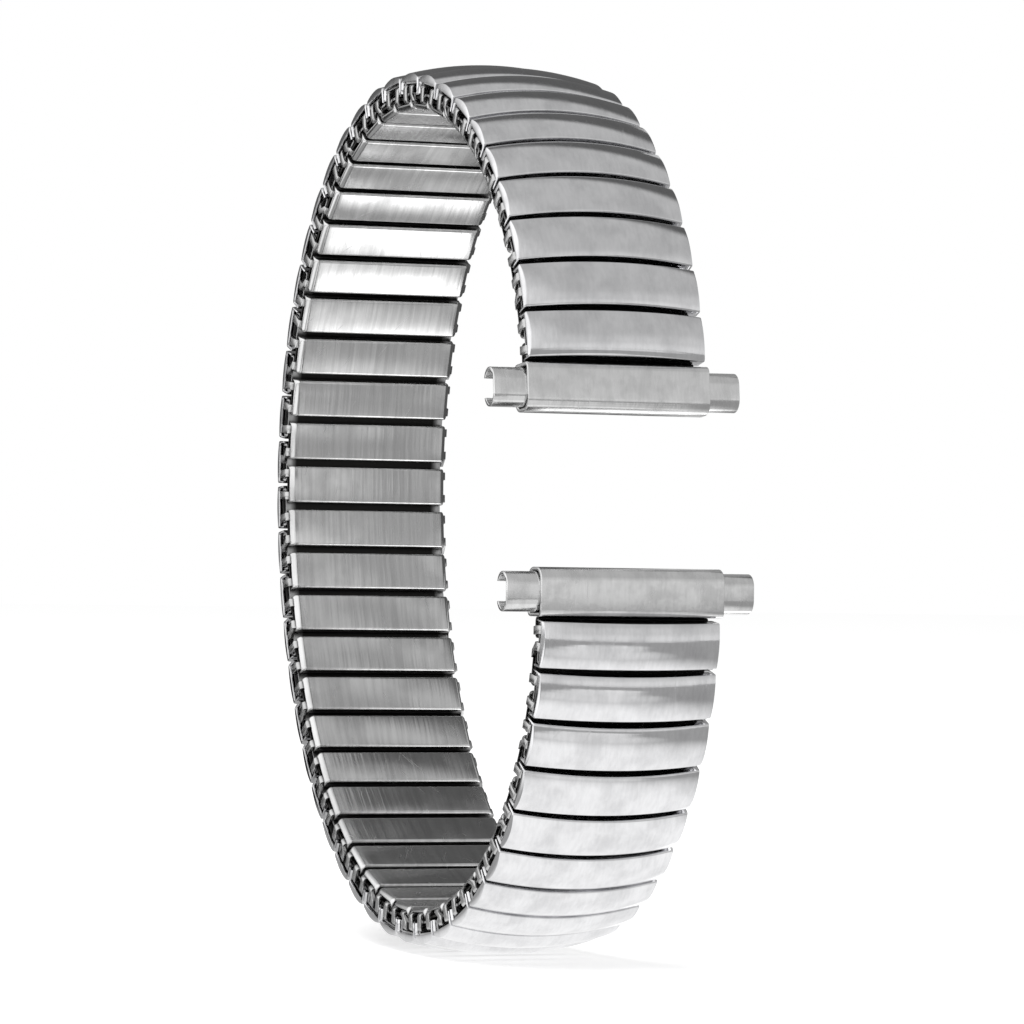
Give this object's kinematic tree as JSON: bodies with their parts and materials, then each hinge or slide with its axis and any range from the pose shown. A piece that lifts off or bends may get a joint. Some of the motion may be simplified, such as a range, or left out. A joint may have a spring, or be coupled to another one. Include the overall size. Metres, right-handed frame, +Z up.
{
  "type": "expansion watch band",
  "caption": "Flat steel expansion watch band of sprung outer and inner sleeve links joined by U-shaped bows, with telescoping channel ends for the spring bars.",
  "frame": {"origin": "middle of the upper spring-bar channel, on the band's middle plane", "axes": "+X across the band along the upper spring bar, -Y the watch side of the loop, +Z up the loop as pictured"},
  "size_m": [0.0216, 0.0649, 0.0756],
  "materials": {
    "polished_steel": "mirror-polished stainless steel sheet",
    "brushed_steel": "fine brushed grain along the band",
    "satin_steel": "fine satin grain",
    "bow_steel": "bare rolled strip",
    "spring_steel": "bare rolled spring strip"
  },
  "bodies": {
    "upper_end": {"upper_end_sleeve": "satin_steel", "upper_end_inner_sleeve": "brushed_steel", "upper_end_connecting_bows": "bow_steel"},
    "link_01": {"link_01_outer_shell": "polished_steel", "link_01_upper_sleeve": "brushed_steel", "link_01_lower_sleeve": "brushed_steel", "link_01_leaf_springs": "spring_steel", "link_01_connecting_bows": "bow_steel"},
    "link_02": {"link_02": "polished_steel"},
    "link_03": {"link_03": "polished_steel"},
    "link_04": {"link_04": "polished_steel"},
    "link_05": {"link_05": "polished_steel"},
    "link_06": {"link_06": "polished_steel"},
    "link_07": {"link_07": "polished_steel"},
    "link_08": {"link_08": "polished_steel"},
    "link_09": {"link_09": "polished_steel"},
    "link_10": {"link_10": "polished_steel"},
    "link_11": {"link_11": "polished_steel"},
    "link_12": {"link_12": "polished_steel"},
    "link_13": {"link_13": "polished_steel"},
    "link_14": {"link_14": "polished_steel"},
    "link_15": {"link_15": "polished_steel"},
    "link_16": {"link_16": "polished_steel"},
    "link_17": {"link_17": "polished_steel"},
    "link_18": {"link_18": "polished_steel"},
    "link_19": {"link_19": "polished_steel"},
    "link_20": {"link_20": "polished_steel"},
    "link_21": {"link_21": "polished_steel"},
    "link_22": {"link_22": "polished_steel"},
    "link_23": {"link_23": "polished_steel"},
    "link_24": {"link_24": "polished_steel"},
    "link_25": {"link_25": "polished_steel"},
    "link_26": {"link_26": "polished_steel"},
    "link_27": {"link_27": "polished_steel"},
    "link_28": {"link_28": "polished_steel"},
    "link_29": {"link_29": "polished_steel"},
    "link_30": {"link_30": "polished_steel"},
    "link_31": {"link_31": "polished_steel"},
    "link_32": {"link_32": "polished_steel"},
    "link_33": {"link_33": "polished_steel"},
    "link_34": {"link_34": "polished_steel"},
    "link_35": {"link_35": "polished_steel"},
    "link_36": {"link_36": "polished_steel"},
    "link_37": {"link_37": "polished_steel"},
    "link_38": {"link_38": "polished_steel"},
    "link_39": {"link_39": "polished_steel"},
    "link_40": {"link_40": "polished_steel"},
    "link_41": {"link_41": "polished_steel"},
    "link_42": {"link_42": "polished_steel"},
    "link_43": {"link_43": "polished_steel"},
    "link_44": {"link_44": "polished_steel"},
    "link_45": {"link_45": "polished_steel"},
    "link_46": {"link_46": "polished_steel"},
    "lower_end": {"lower_end_sleeve": "satin_steel", "lower_end_inner_sleeve": "brushed_steel"},
    "upper_slide_left": {"upper_sliding_end_left": "satin_steel"},
    "upper_slide_right": {"upper_sliding_end_right": "satin_steel"},
    "lower_slide_left": {"lower_sliding_end_left": "satin_steel"},
    "lower_slide_right": {"lower_sliding_end_right": "satin_steel"}
  },
  "joints": [
    {"name": "flex_00", "type": "hinge", "parent": "upper_end", "child": "link_01", "pos_m": [0, -0.00001, 0.0036], "axis": [1, 0, 0], "range_deg": [-0.12, 9.92], "stiffness_Nm_per_rad": 0.2, "springref_deg": 2.38},
    {"name": "stretch_01", "type": "slide", "parent": "link_01", "child": "link_02", "axis": [0, 0.3869, 0.9221], "range_m": [0, 0.0008], "stiffness_N_per_m": 3000, "springref_m": -0.00033},
    {"name": "flex_02", "type": "hinge", "parent": "link_02", "child": "link_03", "pos_m": [0, 0.00294, 0.01123], "axis": [1, 0, 0], "range_deg": [-0.15, 13.23], "stiffness_Nm_per_rad": 0.2, "springref_deg": 2.14},
    {"name": "stretch_03", "type": "slide", "parent": "link_03", "child": "link_04", "axis": [0, 0.6182, 0.786], "range_m": [0, 0.0008], "stiffness_N_per_m": 3000, "springref_m": -0.00033},
    {"name": "flex_04", "type": "hinge", "parent": "link_04", "child": "link_05", "pos_m": [0, 0.00774, 0.01779], "axis": [1, 0, 0], "range_deg": [-0.16, 13.53], "stiffness_Nm_per_rad": 0.2, "springref_deg": 1.77},
    {"name": "stretch_05", "type": "slide", "parent": "link_05", "child": "link_06", "axis": [0, 0.8095, 0.5871], "range_m": [0, 0.0008], "stiffness_N_per_m": 3000, "springref_m": -0.00033},
    {"name": "flex_06", "type": "hinge", "parent": "link_06", "child": "link_07", "pos_m": [0, 0.01414, 0.02281], "axis": [1, 0, 0], "range_deg": [-0.16, 14.06], "stiffness_Nm_per_rad": 0.2, "springref_deg": 1.3},
    {"name": "stretch_07", "type": "slide", "parent": "link_07", "child": "link_08", "axis": [0, 0.943, 0.3327], "range_m": [0, 0.0008], "stiffness_N_per_m": 3000, "springref_m": -0.00033},
    {"name": "flex_08", "type": "hinge", "parent": "link_08", "child": "link_09", "pos_m": [0, 0.0217, 0.02581], "axis": [1, 0, 0], "range_deg": [-0.17, 14.61], "stiffness_Nm_per_rad": 0.2, "springref_deg": 0.77},
    {"name": "stretch_09", "type": "slide", "parent": "link_09", "child": "link_10", "axis": [0, 0.9992, 0.0403], "range_m": [0, 0.0008], "stiffness_N_per_m": 3000, "springref_m": -0.00033},
    {"name": "flex_10", "type": "hinge", "parent": "link_10", "child": "link_11", "pos_m": [0, 0.02982, 0.02646], "axis": [1, 0, 0], "range_deg": [-0.17, 14.93], "stiffness_Nm_per_rad": 0.2, "springref_deg": 0.23},
    {"name": "stretch_11", "type": "slide", "parent": "link_11", "child": "link_12", "axis": [0, 0.9655, -0.2603], "range_m": [0, 0.0008], "stiffness_N_per_m": 3000, "springref_m": -0.00033},
    {"name": "flex_12", "type": "hinge", "parent": "link_12", "child": "link_13", "pos_m": [0, 0.03776, 0.02466], "axis": [1, 0, 0], "range_deg": [-0.17, 14.83], "stiffness_Nm_per_rad": 0.2, "springref_deg": -0.27},
    {"name": "stretch_13", "type": "slide", "parent": "link_13", "child": "link_14", "axis": [0, 0.8459, -0.5333], "range_m": [0, 0.0008], "stiffness_N_per_m": 3000, "springref_m": -0.00033},
    {"name": "flex_14", "type": "hinge", "parent": "link_14", "child": "link_15", "pos_m": [0, 0.04481, 0.02059], "axis": [1, 0, 0], "range_deg": [-0.17, 14.22], "stiffness_Nm_per_rad": 0.2, "springref_deg": -0.69},
    {"name": "stretch_15", "type": "slide", "parent": "link_15", "child": "link_16", "axis": [0, 0.6625, -0.749], "range_m": [0, 0.0008], "stiffness_N_per_m": 3000, "springref_m": -0.00033},
    {"name": "flex_16", "type": "hinge", "parent": "link_16", "child": "link_17", "pos_m": [0, 0.05042, 0.0147], "axis": [1, 0, 0], "range_deg": [-0.15, 13.16], "stiffness_Nm_per_rad": 0.2, "springref_deg": -1},
    {"name": "stretch_17", "type": "slide", "parent": "link_17", "child": "link_18", "axis": [0, 0.447, -0.8946], "range_m": [0, 0.0008], "stiffness_N_per_m": 3000, "springref_m": -0.00033},
    {"name": "flex_18", "type": "hinge", "parent": "link_18", "child": "link_19", "pos_m": [0, 0.05429, 0.00756], "axis": [1, 0, 0], "range_deg": [-0.14, 11.85], "stiffness_Nm_per_rad": 0.2, "springref_deg": -1.2},
    {"name": "stretch_19", "type": "slide", "parent": "link_19", "child": "link_20", "axis": [0, 0.2277, -0.9737], "range_m": [0, 0.0008], "stiffness_N_per_m": 3000, "springref_m": -0.00033},
    {"name": "flex_20", "type": "hinge", "parent": "link_20", "child": "link_21", "pos_m": [0, 0.05637, -0.00028], "axis": [1, 0, 0], "range_deg": [-0.12, 10.57], "stiffness_Nm_per_rad": 0.2, "springref_deg": -1.3},
    {"name": "stretch_21", "type": "slide", "parent": "link_21", "child": "link_22", "axis": [0, 0.0212, -0.9998], "range_m": [0, 0.0008], "stiffness_N_per_m": 3000, "springref_m": -0.00033},
    {"name": "flex_22", "type": "hinge", "parent": "link_22", "child": "link_23", "pos_m": [0, 0.05676, -0.00837], "axis": [1, 0, 0], "range_deg": [-0.11, 9.61], "stiffness_Nm_per_rad": 0.2, "springref_deg": -1.31},
    {"name": "stretch_23", "type": "slide", "parent": "link_23", "child": "link_24", "axis": [0, -0.1694, -0.9856], "range_m": [0, 0.0008], "stiffness_N_per_m": 3000, "springref_m": -0.00033},
    {"name": "flex_24", "type": "hinge", "parent": "link_24", "child": "link_25", "pos_m": [0, 0.05559, -0.01637], "axis": [1, 0, 0], "range_deg": [-0.11, 9.2], "stiffness_Nm_per_rad": 0.2, "springref_deg": -1.26},
    {"name": "stretch_25", "type": "slide", "parent": "link_25", "child": "link_26", "axis": [0, -0.349, -0.9371], "range_m": [0, 0.0008], "stiffness_N_per_m": 3000, "springref_m": -0.00033},
    {"name": "flex_26", "type": "hinge", "parent": "link_26", "child": "link_27", "pos_m": [0, 0.05295, -0.02402], "axis": [1, 0, 0], "range_deg": [-0.11, 9.44], "stiffness_Nm_per_rad": 0.2, "springref_deg": -1.16},
    {"name": "stretch_27", "type": "slide", "parent": "link_27", "child": "link_28", "axis": [0, -0.5235, -0.852], "range_m": [0, 0.0008], "stiffness_N_per_m": 3000, "springref_m": -0.00033},
    {"name": "flex_28", "type": "hinge", "parent": "link_28", "child": "link_29", "pos_m": [0, 0.04889, -0.03103], "axis": [1, 0, 0], "range_deg": [-0.12, 10.27], "stiffness_Nm_per_rad": 0.2, "springref_deg": -1.02},
    {"name": "stretch_29", "type": "slide", "parent": "link_29", "child": "link_30", "axis": [0, -0.6924, -0.7215], "range_m": [0, 0.0008], "stiffness_N_per_m": 3000, "springref_m": -0.00033},
    {"name": "flex_30", "type": "hinge", "parent": "link_30", "child": "link_31", "pos_m": [0, 0.04345, -0.03704], "axis": [1, 0, 0], "range_deg": [-0.13, 11.49], "stiffness_Nm_per_rad": 0.2, "springref_deg": -0.85},
    {"name": "stretch_31", "type": "slide", "parent": "link_31", "child": "link_32", "axis": [0, -0.844, -0.5363], "range_m": [0, 0.0008], "stiffness_N_per_m": 3000, "springref_m": -0.00033},
    {"name": "flex_32", "type": "hinge", "parent": "link_32", "child": "link_33", "pos_m": [0, 0.03674, -0.04161], "axis": [1, 0, 0], "range_deg": [-0.15, 12.81], "stiffness_Nm_per_rad": 0.2, "springref_deg": -0.66},
    {"name": "stretch_33", "type": "slide", "parent": "link_33", "child": "link_34", "axis": [0, -0.9555, -0.295], "range_m": [0, 0.0008], "stiffness_N_per_m": 3000, "springref_m": -0.00033},
    {"name": "flex_34", "type": "hinge", "parent": "link_34", "child": "link_35", "pos_m": [0, 0.02907, -0.04429], "axis": [1, 0, 0], "range_deg": [-0.16, 13.95], "stiffness_Nm_per_rad": 0.2, "springref_deg": -0.48},
    {"name": "stretch_35", "type": "slide", "parent": "link_35", "child": "link_36", "axis": [0, -0.9999, -0.0114], "range_m": [0, 0.0008], "stiffness_N_per_m": 3000, "springref_m": -0.00033},
    {"name": "flex_36", "type": "hinge", "parent": "link_36", "child": "link_37", "pos_m": [0, 0.02094, -0.0447], "axis": [1, 0, 0], "range_deg": [-0.17, 14.68], "stiffness_Nm_per_rad": 0.2, "springref_deg": -0.31},
    {"name": "stretch_37", "type": "slide", "parent": "link_37", "child": "link_38", "axis": [0, -0.9585, 0.285], "range_m": [0, 0.0008], "stiffness_N_per_m": 3000, "springref_m": -0.00033},
    {"name": "flex_38", "type": "hinge", "parent": "link_38", "child": "link_39", "pos_m": [0, 0.01305, -0.04269], "axis": [1, 0, 0], "range_deg": [-0.17, 14.91], "stiffness_Nm_per_rad": 0.2, "springref_deg": -0.18},
    {"name": "stretch_39", "type": "slide", "parent": "link_39", "child": "link_40", "axis": [0, -0.8302, 0.5575], "range_m": [0, 0.0008], "stiffness_N_per_m": 3000, "springref_m": -0.00033},
    {"name": "flex_40", "type": "hinge", "parent": "link_40", "child": "link_41", "pos_m": [0, 0.00612, -0.03843], "axis": [1, 0, 0], "range_deg": [-0.17, 14.68], "stiffness_Nm_per_rad": 0.2, "springref_deg": -0.08},
    {"name": "stretch_41", "type": "slide", "parent": "link_41", "child": "link_42", "axis": [0, -0.6315, 0.7754], "range_m": [0, 0.0008], "stiffness_N_per_m": 3000, "springref_m": -0.00033},
    {"name": "flex_42", "type": "hinge", "parent": "link_42", "child": "link_43", "pos_m": [0, 0.00073, -0.03232], "axis": [1, 0, 0], "range_deg": [-0.16, 14.18], "stiffness_Nm_per_rad": 0.2, "springref_deg": -0.03},
    {"name": "stretch_43", "type": "slide", "parent": "link_43", "child": "link_44", "axis": [0, -0.3882, 0.9216], "range_m": [0, 0.0008], "stiffness_N_per_m": 3000, "springref_m": -0.00033},
    {"name": "flex_44", "type": "hinge", "parent": "link_44", "child": "link_45", "pos_m": [0, -0.0027, -0.02495], "axis": [1, 0, 0], "range_deg": [-0.16, 13.63], "stiffness_Nm_per_rad": 0.2, "springref_deg": 0},
    {"name": "stretch_45", "type": "slide", "parent": "link_45", "child": "link_46", "axis": [0, -0.1243, 0.9922], "range_m": [0, 0.0008], "stiffness_N_per_m": 3000, "springref_m": -0.00033},
    {"name": "flex_46", "type": "hinge", "parent": "link_46", "child": "lower_end", "pos_m": [0, -0.00267, -0.01888], "axis": [1, 0, 0], "range_deg": [-0.12, 9.97], "stiffness_Nm_per_rad": 0.2, "springref_deg": 0},
    {"name": "upper_reach_left", "type": "slide", "parent": "upper_end", "child": "upper_slide_left", "axis": [-1, 0, 0], "range_m": [-0.0028, 0.0002]},
    {"name": "upper_reach_right", "type": "slide", "parent": "upper_end", "child": "upper_slide_right", "axis": [1, 0, 0], "range_m": [-0.0028, 0.0002]},
    {"name": "lower_reach_left", "type": "slide", "parent": "lower_end", "child": "lower_slide_left", "axis": [-1, 0, 0], "range_m": [-0.0028, 0.0002]},
    {"name": "lower_reach_right", "type": "slide", "parent": "lower_end", "child": "lower_slide_right", "axis": [1, 0, 0], "range_m": [-0.0028, 0.0002]}
  ],
  "couplings": [
    {"joint": "flex_02", "follows": "flex_00", "ratio": 1.3338},
    {"joint": "stretch_03", "follows": "stretch_01", "ratio": 1},
    {"joint": "flex_04", "follows": "flex_00", "ratio": 1.3645},
    {"joint": "stretch_05", "follows": "stretch_01", "ratio": 1},
    {"joint": "flex_06", "follows": "flex_00", "ratio": 1.418},
    {"joint": "stretch_07", "follows": "stretch_01", "ratio": 1},
    {"joint": "flex_08", "follows": "flex_00", "ratio": 1.4731},
    {"joint": "stretch_09", "follows": "stretch_01", "ratio": 1},
    {"joint": "flex_10", "follows": "flex_00", "ratio": 1.5053},
    {"joint": "stretch_11", "follows": "stretch_01", "ratio": 1},
    {"joint": "flex_12", "follows": "flex_00", "ratio": 1.495},
    {"joint": "stretch_13", "follows": "stretch_01", "ratio": 1},
    {"joint": "flex_14", "follows": "flex_00", "ratio": 1.4336},
    {"joint": "stretch_15", "follows": "stretch_01", "ratio": 1},
    {"joint": "flex_16", "follows": "flex_00", "ratio": 1.327},
    {"joint": "stretch_17", "follows": "stretch_01", "ratio": 1},
    {"joint": "flex_18", "follows": "flex_00", "ratio": 1.1949},
    {"joint": "stretch_19", "follows": "stretch_01", "ratio": 1},
    {"joint": "flex_20", "follows": "flex_00", "ratio": 1.0657},
    {"joint": "stretch_21", "follows": "stretch_01", "ratio": 1},
    {"joint": "flex_22", "follows": "flex_00", "ratio": 0.96909},
    {"joint": "stretch_23", "follows": "stretch_01", "ratio": 1},
    {"joint": "flex_24", "follows": "flex_00", "ratio": 0.92799},
    {"joint": "stretch_25", "follows": "stretch_01", "ratio": 1},
    {"joint": "flex_26", "follows": "flex_00", "ratio": 0.9522},
    {"joint": "stretch_27", "follows": "stretch_01", "ratio": 1},
    {"joint": "flex_28", "follows": "flex_00", "ratio": 1.0358},
    {"joint": "stretch_29", "follows": "stretch_01", "ratio": 1},
    {"joint": "flex_30", "follows": "flex_00", "ratio": 1.1587},
    {"joint": "stretch_31", "follows": "stretch_01", "ratio": 1},
    {"joint": "flex_32", "follows": "flex_00", "ratio": 1.2922},
    {"joint": "stretch_33", "follows": "stretch_01", "ratio": 1},
    {"joint": "flex_34", "follows": "flex_00", "ratio": 1.4069},
    {"joint": "stretch_35", "follows": "stretch_01", "ratio": 1},
    {"joint": "flex_36", "follows": "flex_00", "ratio": 1.4804},
    {"joint": "stretch_37", "follows": "stretch_01", "ratio": 1},
    {"joint": "flex_38", "follows": "flex_00", "ratio": 1.5033},
    {"joint": "stretch_39", "follows": "stretch_01", "ratio": 1},
    {"joint": "flex_40", "follows": "flex_00", "ratio": 1.4805},
    {"joint": "stretch_41", "follows": "stretch_01", "ratio": 1},
    {"joint": "flex_42", "follows": "flex_00", "ratio": 1.4296},
    {"joint": "stretch_43", "follows": "stretch_01", "ratio": 1},
    {"joint": "flex_44", "follows": "flex_00", "ratio": 1.3744},
    {"joint": "stretch_45", "follows": "stretch_01", "ratio": 1},
    {"joint": "flex_46", "follows": "flex_00", "ratio": 1.0055}
  ]
}
